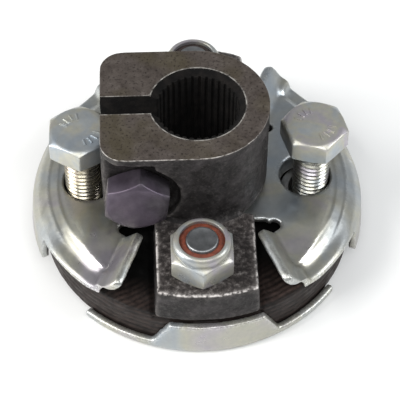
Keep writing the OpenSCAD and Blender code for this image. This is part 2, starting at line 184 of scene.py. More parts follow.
def remeshed(ob, voxel_mm):
    m = ob.modifiers.new("remesh", "REMESH")
    m.mode = "VOXEL"
    m.voxel_size = voxel_mm * MM
    m.adaptivity = 0
    return applied(ob)


def prism(points, z0, z1):
    n = len(points)
    verts = [(x * MM, y * MM, z * MM) for z in (z0, z1) for x, y in points]
    faces = [list(range(n))[::-1], list(range(n, 2 * n))]
    faces += [[i, (i + 1) % n, n + (i + 1) % n, n + i] for i in range(n)]
    return verts, faces


def ring_points(r, n=96):
    return [(r * math.cos(2 * math.pi * i / n), r * math.sin(2 * math.pi * i / n)) for i in range(n)]


def box_solid(lo, hi):
    return prism([(lo[0], lo[1]), (hi[0], lo[1]), (hi[0], hi[1]), (lo[0], hi[1])], lo[2], hi[2])


def along_y(solid, x, z):
    """Turns a prism made along Z so that it runs along Y through (x, z)."""
    verts, faces = solid
    return [(x * MM + a, -c, z * MM + b) for a, b, c in verts], faces


def welded(solid):
    """The solid with the points that lie on each other made one."""
    bm = bmesh.new()
    vs = [bm.verts.new(v) for v in solid[0]]
    for f in solid[1]:
        bm.faces.new([vs[i] for i in f])
    bmesh.ops.remove_doubles(bm, verts=bm.verts, dist=1e-7)
    bm.verts.index_update()
    out = [tuple(v.co) for v in bm.verts], [[v.index for v in f.verts] for f in bm.faces]
    bm.free()
    return out


def cut(ob, solids):
    cutters = []
    for i, (verts, faces) in enumerate(solids):
        me = bpy.data.meshes.new("cutter")
        me.from_pydata(verts, [], faces)
        bm = bmesh.new()
        bm.from_mesh(me)
        bmesh.ops.recalc_face_normals(bm, faces=bm.faces)
        bm.to_mesh(me)
        bm.free()
        c = bpy.data.objects.new("cutter", me)
        col.objects.link(c)
        cutters.append(c)
        m = ob.modifiers.new("cut%d" % i, "BOOLEAN")
        m.operation = "DIFFERENCE"
        m.solver = "MANIFOLD"
        m.object = c
    applied(ob)
    for c in cutters:
        me = c.data
        bpy.data.objects.remove(c)
        bpy.data.meshes.remove(me)


def lathe(profile, steps=96):
    """A profile of (r, z) turned about Z, with triangles where it meets the axis."""
    verts, faces, n = [], [], len(profile)
    for i in range(steps):
        a = 2 * math.pi * i / steps
        verts += [(r * math.cos(a) * MM, r * math.sin(a) * MM, z * MM) for r, z in profile]
    for i in range(steps):
        k = (i + 1) % steps
        for j in range(n - 1):
            if profile[j][0] == 0:
                faces.append([i * n + j, k * n + j + 1, i * n + j + 1][::-1])
            elif profile[j + 1][0] == 0:
                faces.append([i * n + j, k * n + j, i * n + j + 1])
            else:
                faces.append([i * n + j, k * n + j, k * n + j + 1, i * n + j + 1])
    return verts, faces


def joined(parts):
    verts, faces = [], []
    for v, f in parts:
        b = len(verts)
        verts += list(v)
        faces += [[i + b for i in face] for face in f]
    return verts, faces


# ---------------------------------------------------------------- screws and nuts
def hex_outline(corner_r, steps=6):
    """Outline of a hexagon with small round corners, counter-clockwise from a corner at angle 0."""
    inner = AF / 2 / math.cos(math.pi / 6) - corner_r / math.cos(math.pi / 6)

    def on_corner(k, turn):
        a = math.radians(60 * k)
        b = a + math.radians(turn)
        return inner * math.cos(a) + corner_r * math.cos(b), inner * math.sin(a) + corner_r * math.sin(b)

    pts = []
    for k in range(6):
        pts += [on_corner(k, -30 + 60 * s / steps) for s in range(steps + 1)]
        (x0, y0), (x1, y1) = pts[-1], on_corner(k + 1, -30)
        pts += [(x0 + (x1 - x0) * (s / steps), y0 + (y1 - y0) * (s / steps)) for s in range(1, steps)]
    return pts


def stack(rings, close_top):
    """Faces between rings of equal length, and over the last ring if close_top."""
    n = len(rings[0])
    verts = [v for r in rings for v in r]
    faces = []
    for k in range(len(rings) - 1):
        for i in range(n):
            j = (i + 1) % n
            faces.append([k * n + i, k * n + j, (k + 1) * n + j, (k + 1) * n + i])
    if close_top:
        last = (len(rings) - 1) * n
        verts.append(tuple(np.mean(np.array(rings[-1]), axis=0)))
        faces += [[last + i, last + (i + 1) % n, len(verts) - 1] for i in range(n)]
    return verts, faces


def hex_block(z0, z1, hole_r=None, underside=0.25):
    """Hexagon from z0 to z1 with its top corners turned off at 30 degrees. Its top is closed or has a hole."""
    slope = math.tan(math.radians(30))
    out = hex_outline(0.45)

    def ring(place):
        """One ring: place gives the radius and the height from the outline's radius."""
        row = []
        for x, y in out:
            r = math.hypot(x, y)
            q, z = place(r)
            row.append((x / r * q * MM, y / r * q * MM, z * MM))
        return row

    def turned(r):
        return max(0, r - FACE_R) * slope

    rings = [ring(lambda r: (FACE_R - 0.2, z0)),
             ring(lambda r: (min(r, AF / 2 - 0.05), z0)),
             ring(lambda r: (r - 0.04, z0 + underside * max(0.15, (r - AF / 2) * 1.2))),
             ring(lambda r: (r, z0 + 0.2 + underside * (r - AF / 2) * 1.6)),
             ring(lambda r: (r, (z0 + z1) / 2)),
             ring(lambda r: (r, z1 - turned(r) - 0.28)),
             ring(lambda r: (r - 0.03, z1 - turned(r) - 0.1)),
             ring(lambda r: (r - 0.16, z1 - turned(r - 0.16) - 0.02)),
             ring(lambda r: (FACE_R + 0.2, z1 - 0.16)),
             ring(lambda r: (FACE_R, z1 - 0.05)),
             ring(lambda r: (FACE_R - 0.22, z1))]
    if hole_r is not None:
        return stack(rings + [ring(lambda r: (hole_r, z1))], False)
    rings += [ring(lambda r: (FACE_R - 1.2, z1 - 0.02)), ring(lambda r: (FACE_R * 0.4, z1 - 0.05))]
    return stack(rings, True)


def thread(length, steps=52, chamfer=0.7):
    """External thread that runs down from z = 0, as one helical strip with a chamfered, closed end."""
    # Section over one pitch: (share of the pitch, share of the depth)
    section = [(0.00, 0), (0.06, 0), (0.12, 0.06), (0.27, 0.5), (0.42, 0.94), (0.50, 1), (0.58, 0.94),
               (0.73, 0.5), (0.88, 0.06)]
    m = len(section)
    total = int((length / PITCH + 1) * steps)
    verts, faces = [], []
    for k in range(total + steps + 1):
        a = 2 * math.pi * k / steps
        for f, d in section:
            z = PITCH - PITCH * k / steps - f * PITCH
            z = max(-length, min(0.0, z))
            end_r = SCREW_R - chamfer * max(0.0, (chamfer - (z + length)) / chamfer)
            r = min(SCREW_R - THREAD_DEPTH * d, end_r)
            verts.append((r * math.cos(a) * MM, r * math.sin(a) * MM, z * MM))
    for k in range(total):
        for j in range(m):
            a0, b0 = k * m + j, (k + 1) * m + j
            a1 = k * m + j + 1 if j + 1 < m else (k + steps) * m
            b1 = (k + 1) * m + j + 1 if j + 1 < m else (k + steps + 1) * m
            if verts[a0][2] == verts[b1][2] == verts[b0][2] == verts[a1][2]:
                continue
            faces.append([a0, a1, b1, b0])
    base = len(verts)
    verts += [(x * MM, y * MM, -length * MM) for x, y in ring_points(SCREW_R - chamfer, steps)]
    verts.append((0, 0, -length * MM))
    faces += [[base + (i + 1) % steps, base + i, base + steps] for i in range(steps)]
    return verts, faces


def raised_bars(top_z, turn):
    """Low raised strokes on a bolt head, set like spokes in two groups."""
    r0, r1, half_w, h = 2.9, 4.7, 0.25, 0.26
    parts = []
    for deg in (100, 119, 138, 157, -74, -54, -34, -14):
        a = math.radians(deg - turn)
        ca, sa = math.cos(a), math.sin(a)
        verts = []
        for z, inset in ((-0.1, 0.0), (h * 0.8, 0.07), (h, 0.16)):
            for r, s in ((r0 + inset, -1), (r1 - inset, -1), (r1 - inset, 1), (r0 + inset, 1)):
                t = s * (half_w - inset)
                verts.append(((r * ca - t * sa) * MM, (r * sa + t * ca) * MM, (top_z + z) * MM))
        faces = [[k + i, k + (i + 1) % 4, k + 4 + (i + 1) % 4, k + 4 + i] for k in (0, 4) for i in range(4)]
        parts.append((verts, faces + [[8, 9, 10, 11]]))
    return joined(parts)


def hex_bolt(name, turn=None):
    """A bolt with its seat at z = 0, and each face's material: 0 on the head, 1 on the thread."""
    washer_r = AF / 2 - 0.6
    parts = [hex_block(0.4, 5.7),
             lathe([(SCREW_R - 0.5, 0), (washer_r - 0.15, 0), (washer_r, 0.12), (washer_r, 0.45)])]
    if turn is not None:
        parts.append(raised_bars(5.68, turn))
    solid = joined(parts)
    ob = mesh_object(name, *joined([solid, thread(SCREW_L)]))
    index = np.zeros(len(ob.data.polygons), dtype=np.int32)
    index[len(solid[1]):] = 1
    return ob, index


def lock_nut(name):
    collar = [(5.9, 5.35), (6.0, 5.7), (6.1, 5.95), (6.1, 6.75), (6.04, 7.15), (5.86, 7.5), (5.6, 7.78),
              (5.3, 7.95), (5.05, NUT_H), (4.88, 7.96), (4.8, 7.85), (4.78, 7.7), (4.84, 7.45), (4.9, 7.2),
              (4.9, 5.2)]
    foot = [(4.05, 1.2), (4.7, 0.02), (5.9, 0.0)]
    inside = [(4.9, 5.2), (4.05, 5.2), (4.05, 1.2)]
    body = hex_block(0.0, 5.6, hole_r=5.6, underside=0.5)
    return mesh_object(name, *joined([body, lathe(collar), lathe(foot), lathe(inside)]))


def place(ob, matrix):
    ob.data.transform(matrix)
    ob.data.update()


# ---------------------------------------------------------------- materials
class Nodes:
    """A material and short ways to add and link its nodes. Textures use object coordinates, in metres."""

    def __init__(self, name):
        self.mat = bpy.data.materials.new(name)
        self.mat.use_nodes = True
        self.tree = self.mat.node_tree
        self.bsdf = self.tree.nodes["Principled BSDF"]
        self.obj = self.add("ShaderNodeTexCoord").outputs["Object"]

    def add(self, kind, **props):
        n = self.tree.nodes.new(kind)
        for k, v in props.items():
            setattr(n, k, v)
        return n

    def link(self, a, b):
        self.tree.links.new(a, b)

    def put(self, socket, value):
        if hasattr(value, "links"):
            self.link(value, socket)
        else:
            socket.default_value = value

    def noise(self, scale, detail=3.0, rough=0.55, distort=0.0, vec=None):
        n = self.add("ShaderNodeTexNoise")
        self.link(self.obj if vec is None else vec, n.inputs["Vector"])
        n.inputs["Scale"].default_value = scale
        n.inputs["Detail"].default_value = detail
        n.inputs["Roughness"].default_value = rough
        n.inputs["Distortion"].default_value = distort
        return n.outputs["Fac"]

    def scaled(self, x, y, z, turn=0.0):
        n = self.add("ShaderNodeMapping")
        self.link(self.obj, n.inputs["Vector"])
        n.inputs["Rotation"].default_value = (0, 0, turn)
        n.inputs["Scale"].default_value = (x, y, z)
        return n.outputs["Vector"]

    def ramp(self, fac, stops):
        n = self.add("ShaderNodeValToRGB")
        els = n.color_ramp.elements
        while len(els) < len(stops):
            els.new(0.5)
        for e, (p, c) in zip(els, stops):
            e.position = p
            e.color = (c, c, c, 1) if isinstance(c, (int, float)) else (*c, 1)
        self.link(fac, n.inputs["Fac"])
        return n.outputs["Color"]

    def patchy(self, texture, *stops):
        """A noise of (scale, detail, roughness, distortion), sent through a ramp with these stops."""
        return self.ramp(self.noise(*texture), stops)

    def mix(self, fac, a, b):
        n = self.add("ShaderNodeMix", data_type="RGBA", blend_type="MIX")
        self.put(n.inputs[0], fac)
        for s, v in ((n.inputs[6], a), (n.inputs[7], b)):
            self.put(s, (*v, 1) if isinstance(v, tuple) and len(v) == 3 else v)
        return n.outputs[2]

    def math(self, op, a, b=0.0):
        n = self.add("ShaderNodeMath", operation=op)
        self.put(n.inputs[0], a)
        self.put(n.inputs[1], b)
        return n.outputs[0]

    def times(self, a, b):
        return self.math("MULTIPLY", a, b)

    def plus(self, a, b):
        return self.math("ADD", a, b)

    def above(self, value, mm):
        return self.math("GREATER_THAN", value, mm * MM)

    def below(self, value, mm):
        return self.math("LESS_THAN", value, mm * MM)

    def near(self, value, mm, within):
        """1 where the value lies within a distance of a length."""
        return self.below(self.math("ABSOLUTE", self.math("SUBTRACT", value, mm * MM)), within)

    def attr(self, name):
        return self.add("ShaderNodeAttribute", attribute_name=name).outputs["Fac"]

    def xyz(self):
        n = self.add("ShaderNodeSeparateXYZ")
        self.link(self.obj, n.inputs[0])
        return n.outputs

    def bump(self, height, strength, distance_mm):
        n = self.add("ShaderNodeBump")
        n.inputs["Strength"].default_value = strength
        n.inputs["Distance"].default_value = distance_mm * MM
        self.link(height, n.inputs["Height"])
        return n.outputs["Normal"]

    def done(self, color, rough, metallic, normal=None, specular=0.5):
        self.put(self.bsdf.inputs["Base Color"], color)
        self.put(self.bsdf.inputs["Roughness"], rough)
        self.put(self.bsdf.inputs["Metallic"], metallic)
        self.bsdf.inputs["Specular IOR Level"].default_value = specular
        if normal is not None:
            self.link(normal, self.bsdf.inputs["Normal"])
        return self.mat


def zinc(name, bright, warm=0.0, with_wear_glint_and_shade=False, rough=(0.26, 0.46), metallic=0.9):
    """Bright zinc with faint blue, yellow and pink passivation tints. The kind for the sheets adds bright specks
    on edges, partly rubbed plating and partly painted highlight, and painted shade in creases.
    """
    def tone(*rgb):
        return tuple(v * bright for v in rgb)

    n = Nodes(name)
    c = n.patchy((70 if with_wear_glint_and_shade else 160, 3, 0.5, 0.6), (0.30, tone(0.50, 0.565, 0.63)),
                 (0.44, tone(0.60, 0.625, 0.62)), (0.54, tone(0.66, 0.645, 0.54)), (0.66, tone(0.60, 0.56, 0.61)))
    c = n.mix(n.patchy((900, 4, 0.6), (0.35, 0.0), (0.7, 0.35)), c, tone(0.42, 0.44, 0.44))
    if warm:
        c = n.mix(warm, c, tone(0.74, 0.60, 0.34))
    if with_wear_glint_and_shade:
        # Bright specks on the edges: partly rubbed plating, partly painted highlight
        specks = n.patchy((2600, 2, 0.6), (0.46, 0.0), (0.56, 1.0))
        c = n.mix(n.times(n.attr("wear_and_glint"), specks), c, (0.86, 0.86, 0.84))
        # Painted shade in the creases, in patches
        crease_shade = n.times(n.attr("corner_shade"), n.patchy((500, 3), (0.3, 0.3), (0.6, 1.0)))
        c = n.mix(n.times(crease_shade, 0.6), c, (0.10, 0.09, 0.08))
    r = n.patchy((240, 4, 0.6), (0.3, rough[0]), (0.7, rough[1]))
    streak = n.noise(260, 3, 0.6, 0.0, n.scaled(1.0, 9.0, 1.0, 0.5))
    h = n.plus(n.times(streak, 0.6), n.noise(1500, 3, 0.6))
    return n.done(c, r, metallic, n.bump(h, 0.22, 0.05))


def phosphate_material():
    """The pinch bolt's dark, faintly violet finish."""
    n = Nodes("phosphate")
    c = n.mix(n.patchy((420, 4, 0.6), (0.35, 0.0), (0.7, 1.0)), (0.065, 0.058, 0.068), (0.1235, 0.1102, 0.1292))
    c = n.mix(n.patchy((110, 2), (0.42, 0.0), (0.62, 0.5)), c, (0.10, 0.075, 0.11))
    r = n.patchy((300, 3), (0.3, 0.36), (0.7, 0.58))
    return n.done(c, r, 0.85, n.bump(n.noise(1800, 4, 0.65), 0.3, 0.06))


def plain_steel(name, base):
    n = Nodes(name)
    c = n.mix(n.patchy((500, 4, 0.6), (0.3, 0.0), (0.7, 1.0)), base, tuple(v * 0.6 for v in base))
    r = n.patchy((300, 3), (0.3, 0.34), (0.7, 0.5))
    rings = n.noise(700, 2, 0.5, 0.0, n.scaled(0.2, 0.2, 3.0))
    return n.done(c, r, 1.0, n.bump(rings, 0.25, 0.05))


def hub_material():
    """Dark rough casting. Its top is machined and browned, its lugs are scuffed, its bore and slot get painted
    shade, and its edges get painted highlights.
    """
    n = Nodes("hub_casting")
    x, y, z = n.xyz()
    radius = n.math("SQRT", n.plus(n.times(x, x), n.times(y, y)))
    aside = n.math("ABSOLUTE", y)
    top = n.above(z, HUB_TOP - 0.22)
    lug = n.times(n.above(z, LUG_TOP - 0.3), n.below(z, LUG_TOP + 0.3))

    cast = n.patchy((210, 5, 0.62, 0.4), (0.28, (0.010, 0.009, 0.009)), (0.46, (0.022, 0.020, 0.020)),
                    (0.60, (0.040, 0.036, 0.037)), (0.75, (0.075, 0.068, 0.070)))
    spots = n.patchy((1500, 3, 0.7), (0.52, 0.0), (0.66, 1.0))
    cast = n.mix(n.times(spots, 0.25), cast, (0.14, 0.13, 0.125))

    machined = n.patchy((330, 6, 0.68, 0.5), (0.28, (0.045, 0.036, 0.031)), (0.45, (0.078, 0.064, 0.056)),
                        (0.60, (0.105, 0.088, 0.078)), (0.76, (0.17, 0.148, 0.135)))
    oiled = n.patchy((90, 2, 0.5), (0.50, 0.0), (0.66, 0.45))
    machined = n.mix(oiled, machined, (0.085, 0.072, 0.036))
    pitted = n.patchy((1700, 2, 0.6), (0.56, 0.0), (0.66, 0.75))
    machined = n.mix(pitted, machined, (0.020, 0.016, 0.014))

    scuffed = n.patchy((900, 4, 0.7), (0.42, (0.028, 0.024, 0.023)), (0.55, (0.085, 0.074, 0.070)),
                       (0.68, (0.27, 0.25, 0.24)))
    c = n.mix(n.times(lug, 0.75), cast, scuffed)
    c = n.mix(top, c, machined)
    # Lighter edges: partly rubbed metal, partly painted highlight
    c = n.mix(n.times(n.attr("wear_and_glint"), n.patchy((1100, 3), (0.38, 0.1), (0.6, 0.6))), c, (0.36, 0.33, 0.31))
    # Painted highlight along the lugs' top edges and the top's outer edge
    c = n.mix(n.times(n.attr("edge"), n.patchy((1100, 3), (0.38, 0.05), (0.58, 0.95))), c, (0.80, 0.76, 0.73))
    # Painted shade in the corners
    c = n.mix(n.times(n.attr("corner_shade"), 0.8), c, (0.008, 0.007, 0.007))

    # Painted shade: the bore and the slot are made near-black and matt
    bore_shade_mask = n.times(n.below(radius, MOUTH_R + 0.02), n.above(z, HUB_BASE + 0.02))
    slot_shade_mask = n.times(n.below(aside, HALF_SLOT + 0.01), n.below(x, -8))
    dark = n.math("MAXIMUM", bore_shade_mask, slot_shade_mask)
    metallic = n.math("SUBTRACT", 0.45, n.times(dark, 0.45))
    c = n.mix(dark, c, n.patchy((450, 3, 0.6), (0.40, (0.0018, 0.0015, 0.0015)), (0.70, (0.010, 0.008, 0.007))))

    # Painted highlight: a thin bright line on the top, round the bore and along the slot
    side = n.times(n.near(aside, HALF_SLOT + 0.12, 0.11), n.below(x, -9.8))
    mouth_highlight = n.times(n.math("MAXIMUM", n.near(radius, MOUTH_R + 0.1, 0.13), side), top)
    mouth_highlight = n.times(mouth_highlight, n.patchy((700, 3, 0.6), (0.40, 0.1), (0.60, 0.9)))
    c = n.mix(mouth_highlight, c, (0.42, 0.40, 0.37))

    r = n.mix(top, n.patchy((420, 4), (0.3, 0.42), (0.7, 0.68)), n.patchy((600, 4), (0.3, 0.40), (0.7, 0.60)))
    r = n.mix(dark, r, (0.95, 0.95, 0.95))
    h = n.plus(n.times(n.noise(320, 3, 0.6), 1.3), n.noise(1300, 5, 0.7))
    h = n.times(h, n.math("SUBTRACT", 1.0, n.times(top, 0.6)))
    return n.done(c, r, metallic, n.bump(h, 0.55, 0.12), 0.25)


def rubber_material():
    n = Nodes("rubber")
    c = n.patchy((300, 5, 0.65), (0.3, (0.002, 0.002, 0.002)), (0.6, (0.005, 0.005, 0.005)),
                 (0.8, (0.018, 0.016, 0.016)))
    cord = n.times(n.attr("cord"), n.patchy((700, 3), (0.3, 0.35), (0.6, 1.0)))
    c = n.mix(cord, c, (0.085, 0.058, 0.050))
    r = n.patchy((380, 4), (0.3, 0.40), (0.7, 0.72))
    h = n.plus(n.noise(900, 5, 0.65), n.times(n.noise(200, 2), 0.7))
    return n.done(c, r, 0.0, n.bump(h, 0.5, 0.12), 0.2)


def nylon_material(name, tone):
    n = Nodes(name)
    c = n.patchy((900, 4, 0.6), (0.3, tuple(v * 0.5 for v in tone)), (0.55, tone),
                 (0.75, tuple(v * 1.5 for v in tone)))
    return n.done(c, 0.42, 0.0, n.bump(n.noise(1500, 3), 0.3, 0.08))


def floor_material():
    n = Nodes("floor")
    return n.done(n.mix(n.noise(6, 2), (0.90, 0.905, 0.90), (0.93, 0.935, 0.93)), 0.75, 0.0, specular=0.2)


def dress(ob, mats, index=None):
    ob.data.materials.clear()
    for m in mats:
        ob.data.materials.append(m)
    if index is None:
        index = np.zeros(len(ob.data.polygons), dtype=np.int32)
    ob.data.polygons.foreach_set("material_index", index)
    ob.data.update()


def recolour(node, m):
    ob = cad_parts[node]
    if not ob.material_slots:
        ob.data.materials.append(m)
    for s in ob.material_slots:
        s.link = "OBJECT"
        s.material = m


def stands_for(ob, node, body):
    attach(ob, body)
    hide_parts(node)


# ---------------------------------------------------------------- hub
def hub_blank():
    """The forging with its bore, slot and screw hole closed, smoothed and made uneven like a casting."""
    # The slot's plugs end in the bore, at the ear's end and, below the ear, at the round hub's side.
    # The screw's plug runs from the pocket for its head to the rear of the ear.
    plug, in_bore, hub_edge = HALF_SLOT + 0.3, -5, -15.0
    ob = copy_of("hub_flange", "hub", [
        prism(ring_points(ROOT_R + 1.8), HUB_BASE, HUB_TOP),
        box_solid((-EAR_REACH, -plug, EAR_BASE), (in_bore, plug, HUB_TOP)),
        box_solid((hub_edge, -plug, HUB_BASE), (in_bore, plug, EAR_BASE + 1)),
        along_y(prism(ring_points(SCREW_R + 0.5, 48), -HUB_R, -PINCH_Y), PINCH_X, PINCH_Z)])
    co = coords(ob.data)
    # The top is lifted here and cut flat after the smoothing, so that its edge stays crisp
    co[co[:, 2] > (HUB_TOP - 0.01) * MM, 2] += 0.6 * MM
    # The rear lug reaches 1.2 mm further
    co[:, 1] += 1.2 * MM * ease(31 * MM, 35 * MM, co[:, 1])
    set_coords(ob.data, co)
    ob = remeshed(ob, 0.34)
    me = ob.data
    relax(me, 8)
    co = coords(me)
    co[:, 2] = np.minimum(co[:, 2], HUB_TOP * MM)
    set_coords(me, co)
    nrm, z = normals(me), co[:, 2] / MM
    # The casting is uneven, but not on its machined top and its foot, and little on the lugs' seats
    below_top = np.clip((HUB_TOP - 0.05 - z) / 1.2, 0.0, 1.0)
    above_foot = np.clip((z - DISC_TOP - 0.05) / 0.8, 0.0, 1.0)
    seats = np.where(np.abs(z - LUG_TOP) < 0.4, 0.35, 1.0)
    amount = 0.10 * fractal(co, 7.0, 2, 3.1) + 0.075 * fractal(co, 1.7, 3, 8.2)
    amount = amount * below_top * above_foot * seats
    set_coords(me, co + nrm * (np.minimum(amount, 0.05) * MM)[:, None])
    return ob


def spline_outline():
    tooth = math.radians(360 / TEETH)
    half_mouth, half_root = 0.29 * tooth, 0.14 * tooth
    points = []
    for i in range(TEETH):
        a = math.radians((i + 0.5) * 360 / TEETH)
        for r, b in ((TIP_R, a - half_mouth), (ROOT_R, a - half_root), (ROOT_R, a + half_root),
                     (TIP_R, a + half_mouth), (TIP_R, a + tooth / 2)):
            points.append((r * math.cos(b), r * math.sin(b)))
    return points


def hub_marks(me):
    """Writes the marks from the bend, with no edge brightening and full painted shade in the openings, and edge, a
    painted highlight along the outer edges.
    """
    curvature_marks(me, 4.5)
    x, y, z = (coords(me) / MM).T
    r, up = np.hypot(x, y), normals(me)[:, 2]
    # The openings get no edge brightening and full painted shade
    inside = (r < MOUTH_R + 0.15) & (z > HUB_BASE - 0.1)
    inside |= (np.abs(y) < HALF_SLOT + 0.02) & (x < -5)
    inside |= np.hypot(x - PINCH_X, z - PINCH_Z) < SCREW_R + 0.12
    for name, value in (("wear_and_glint", 0.0), ("corner_shade", 1.0)):
        v = np.empty(len(x), dtype=np.float32)
        me.attributes[name].data.foreach_get("value", v)
        v[inside] = value
        write_attribute(me, name, v)
    # Painted highlight on the lugs' top edges and on the top's outer edge, strongest at the front
    edge = np.clip(1.5 - np.abs(up - 0.72) / 0.18, 0, 1) * (np.abs(z - LUG_TOP) < 1.0) * (r > 19.5)
    lip = (z > HUB_TOP - 0.5) & (up > 0.12) & (up < 0.97) & (r > 11.5) & (np.abs(y) > 4)
    write_attribute(me, "edge", np.maximum(edge, lip * (0.35 + 0.6 * (y < -9))))


def make_hub():
    ob = hub_blank()
    mouth = lathe([(0, HUB_TOP - CHAMFER), (ROOT_R, HUB_TOP - CHAMFER), (MOUTH_R + 1.0, HUB_TOP + 1.0),
                   (0, HUB_TOP + 1.0)], 120)
    cut(ob, [prism(spline_outline(), HUB_BASE - 2, HUB_TOP + 2),
             welded(mouth),
             box_solid((-30, -HALF_SLOT, HUB_BASE - 2), (0, HALF_SLOT, HUB_TOP + 2)),
             along_y(prism(ring_points(SCREW_R + 0.1, 64), -20, 16), PINCH_X, PINCH_Z)])
    hub_marks(ob.data)
    shade(ob, 40)
    dress(ob, [hub_material()])
    stands_for(ob, "hub_flange", "hub_side")


# ---------------------------------------------------------------- sheet metal
def lip_slabs():
    """The four lips, carried on in their own plane to the tips of the flaps."""
    outline = [(4.0, -0.2), (12.5, -0.2), (15.0, -2.6), (18.3, -2.6), (18.35, 3.6), (18.2, 4.5), (17.7, 5.2),
               (17.0, 5.45), (7.0, 5.2), (4.6, 4.9), (4.1, 4.4)]
    verts, faces = prism(outline, -SHEET_T, 0.0)
    flap = math.radians(FLAP_ANGLE)
    dip = math.atan(math.tan(math.radians(FLAP_DIP)) * math.sin(flap - math.radians(CREASE_ANGLE)))
    m = Matrix.Translation((FLAP_X * MM, STRIP_HALF_W * MM, RAISED_TOP * MM))
    m = m @ Matrix.Rotation(flap, 4, "Z") @ Matrix.Rotation(dip, 4, "Y")
    m = m @ Matrix.Rotation(math.radians(LIP_LEAN), 4, "X")
    vs = [m @ Vector(v) for v in verts]
    return [([(sx * v.x, sy * v.y, v.z) for v in vs], faces if sx * sy > 0 else [f[::-1] for f in faces])
            for sx in (1, -1) for sy in (1, -1)]


def press_soft(me):
    """Shapes the pressing as the photo shows it: lips that lean back, a dome beside the bolts, a higher band."""
    x, y, z = (coords(me) / MM).T
    ax, ay = np.abs(x), np.abs(y)
    r, angle = np.hypot(ax, ay), np.degrees(np.arctan2(ay, ax))
    flap = math.radians(FLAP_ANGLE)
    c, s = math.cos(flap), math.sin(flap)

    # Position along a flap's free edge and across it, and how far the lip above the flap leans over
    px, py = ax - FLAP_X, ay - STRIP_HALF_W
    along, across = px * c + py * s, px * s + py * -c
    lean = 0.28 * np.minimum(across, 0) * (along > 3) * (z > 14)

    # A dome in the bolts' direction, and a raised band in the flaps' direction, above the skirts
    dome_r, dome_run, skirts = 28.0, 8.2, 9
    dome = RAISED_TOP - BAND_DROP * np.clip((r - dome_r) / dome_run, 0, 1) ** 2
    pressed = np.clip(RAISED_TOP - (r - SLOPE_R) * BAND_DROP / SLOPE_RUN, BAND_TOP, RAISED_TOP)
    to_flap = ease(14, 36, angle)
    dz = (1 - to_flap) * (dome - pressed) * (r > dome_r) * (z > skirts)
    lift = 1.3 + 1.0 * ease(44, 56, angle)
    dz += to_flap * lift * ease(30.4, 33.2, r) * (1 - ease(13.5, 17.0, z)) * (z > skirts)
    ax, ay = ax + s * lean, ay + -c * lean
    set_coords(me, np.stack([np.sign(x) * ax, np.sign(y) * ay, z + dz], 1) * MM)


def edge_trim():
    """Cutters that take the pressing's edge back between the skirts and the tips of the flaps."""
    skirt_r, tip_r, outer_r, z0, z1, n = 36.4, 36.0, 45, 3, 26, 40
    start = SKIRT_HALF_ANGLE + 0.4
    solids = []
    for a0, a1 in ((start, 90), (90, 180 - start), (180 + start, 270), (270, 360 - start)):
        span = [math.radians(a0 + (a1 - a0) * i / n) for i in range(n + 1)]
        inner = []
        for t in span:
            from_skirt = min(abs(math.degrees(t) - k) for k in (0, 180, 360)) - SKIRT_HALF_ANGLE
            q = skirt_r - (skirt_r - tip_r) * min(1, from_skirt / 30)
            inner.append((q * math.cos(t), q * math.sin(t)))
        outer = [(outer_r * math.cos(t), outer_r * math.sin(t)) for t in span]
        solids.append(prism(inner[::-1] + outer, z0, z1))
    return solids


def make_sheet(node, name, body, material, pressing=False):
    ob = remeshed(copy_of(node, name, lip_slabs() if pressing else ()), 0.3)
    relax(ob.data, 5)
    if pressing:
        press_soft(ob.data)
        relax(ob.data, 4)
        cut(ob, edge_trim())
    me = ob.data
    co, nrm = coords(me), normals(me)
    amount = 0.035 * fractal(co, 9.0, 2, 5.0)
    set_coords(me, co + nrm * (np.minimum(amount, 0.02) * MM)[:, None])
    curvature_marks(me, 5.0)
    shade(ob, 60)
    dress(ob, [material])
    stands_for(ob, node, body)


# ---------------------------------------------------------------- rubber
def make_rubber():
    ob = remeshed(copy_of("rubber_disc", "rubber"), 0.42)
    me = ob.data
    relax(me, 5)
    co, nrm = coords(me), normals(me)
    x, y, z = (co / MM).T
    r, up = np.hypot(x, y), nrm[:, 2]
    top = np.clip((up - 0.5) * 4, 0, 1) * np.clip((DISC_R - r) / 1.0, 0, 1)
    side = np.clip((0.6 - np.abs(up)) * 4, 0, 1) * np.clip((r - 30) / 2, 0, 1)

    # Cords show in two patches on the top, and as layers on the side
    wander = fractal(co, 6.0, 2, 1.0)
    turn = math.radians(-62)
    cord_pitch, layer_pitch = 1.25, 1.55
    ridge = np.abs(np.sin(math.pi * (x * math.cos(turn) + y * math.sin(turn) + 0.5 * wander) / cord_pitch)) ** 0.7
    layers = np.abs(np.sin(math.pi * (z + 0.35 * wander) / layer_pitch)) ** 0.6
    patch = np.clip(1.4 - np.hypot((x - 19) / 9, (y + 27) / 7), 0, 1)
    patch = patch + np.clip(1.3 - np.hypot((x + 16) / 7, (y + 29) / 5), 0, 1) * 0.6
    patch = np.clip(patch, 0, 1) * top
    rough = 0.09 * fractal(co, 1.6, 3, 4.0) * (0.4 + 0.6 * top)
    amount = -0.30 * (1 - ridge) * patch - 0.22 * (1 - layers) * side + rough - 0.06 * top

    # Room for the bend of 1.5 degrees: under the lugs, and round the sleeves and bushes in their holes
    lug_left, lug_right, lug_start, upper = -10.9, 12.9, 11, 9
    under_lug = (up > 0.02) * (z > upper) * (x > lug_left) * (x < lug_right) * (np.abs(y) > lug_start)
    room, hole_r = 0.37 * under_lug, 7.6
    for hx, hy in ((BOLT_X, 0), (-BOLT_X, 0), (0, STUD_Y), (0, -STUD_Y)):
        room = np.maximum(room, 0.24 * (np.hypot(x - hx, y - hy) < hole_r))
    set_coords(me, co + nrm * ((np.minimum(amount, 0.0) - room) * MM)[:, None])
    write_attribute(me, "cord", ridge * patch + 0.35 * layers * side)
    shade(ob, 60)
    dress(ob, [rubber_material()])
    stands_for(ob, "rubber_disc", "disc")


# ---------------------------------------------------------------- fasteners
def turned_by(degrees, x, y, z):
    return Matrix.Translation((x * MM, y * MM, z * MM)) @ Matrix.Rotation(math.radians(degrees), 4, "Z")


